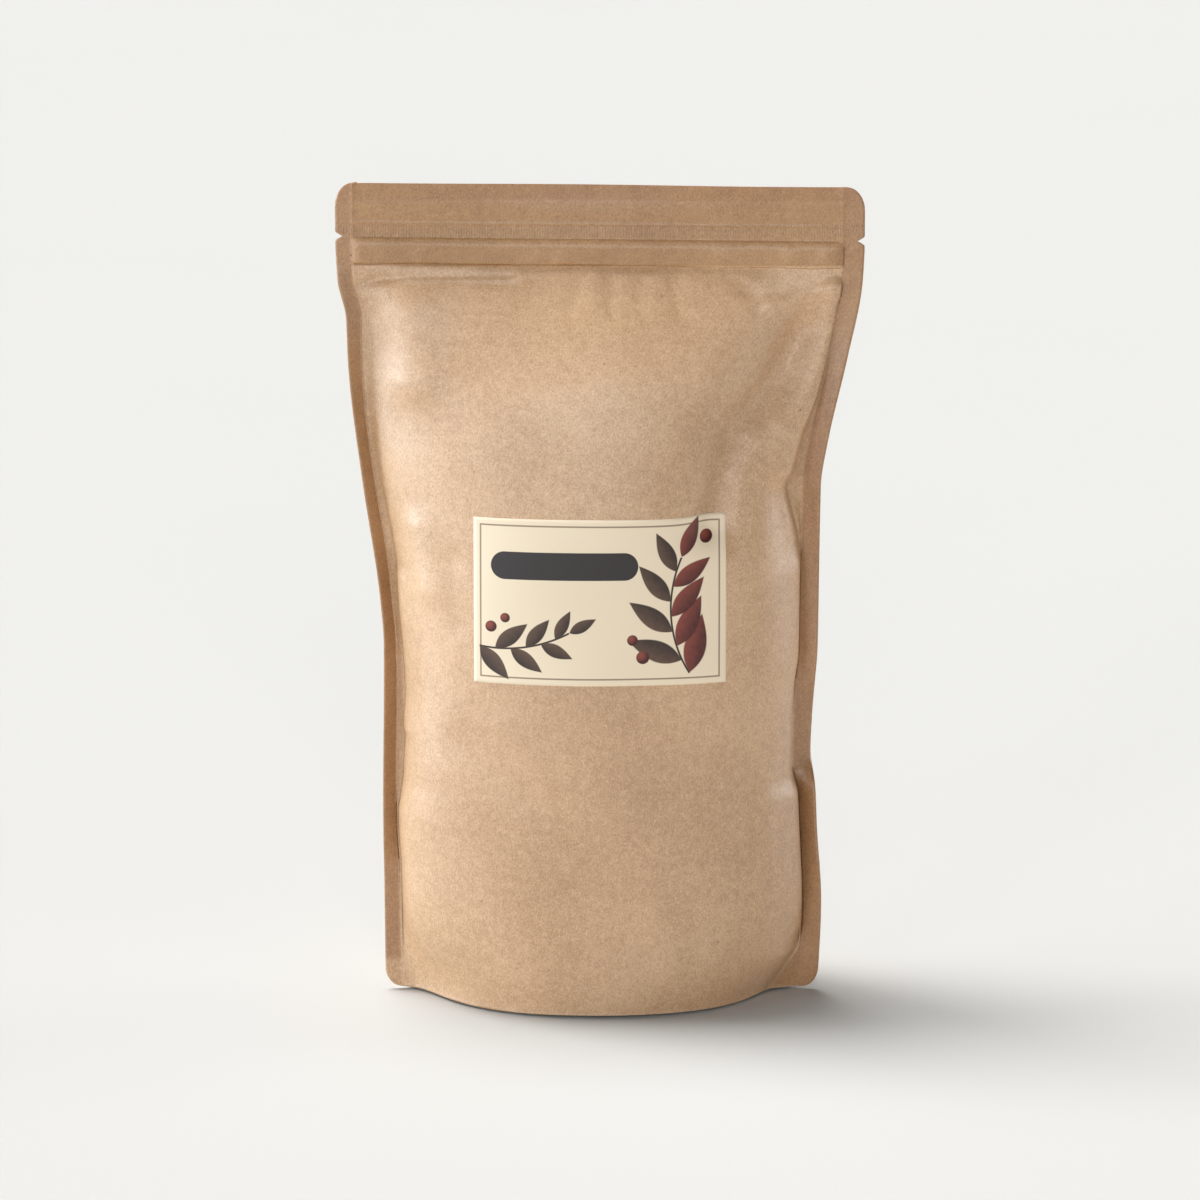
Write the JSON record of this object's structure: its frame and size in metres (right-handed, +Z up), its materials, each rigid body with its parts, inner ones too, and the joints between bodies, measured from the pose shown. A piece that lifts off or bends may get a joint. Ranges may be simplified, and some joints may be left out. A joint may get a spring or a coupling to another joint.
{
  "type": "stand-up pouch",
  "caption": "Filled kraft stand-up pouch with flat side seals, header with tear notches, press-to-close zip, bottom gusset and a small front label.",
  "frame": {"origin": "middle of the box round the pouch, on the surface it stands on", "axes": "+Z up, -Y towards someone who looks at the label, +X to their right"},
  "size_m": [0.18, 0.0797, 0.2848],
  "materials": {
    "kraft": "matt brown kraft paper laminate",
    "zip_plastic": "clear polyethylene strip",
    "label_paper": null,
    "beans": "dried dark brown beans"
  },
  "bodies": {
    "root": {"front_panel": "kraft", "back_panel": "kraft", "bottom_gusset": "kraft", "zip_rail": "zip_plastic", "zip_channel": "zip_plastic", "label": "label_paper", "bean_fill": "beans"}
  },
  "joints": []
}
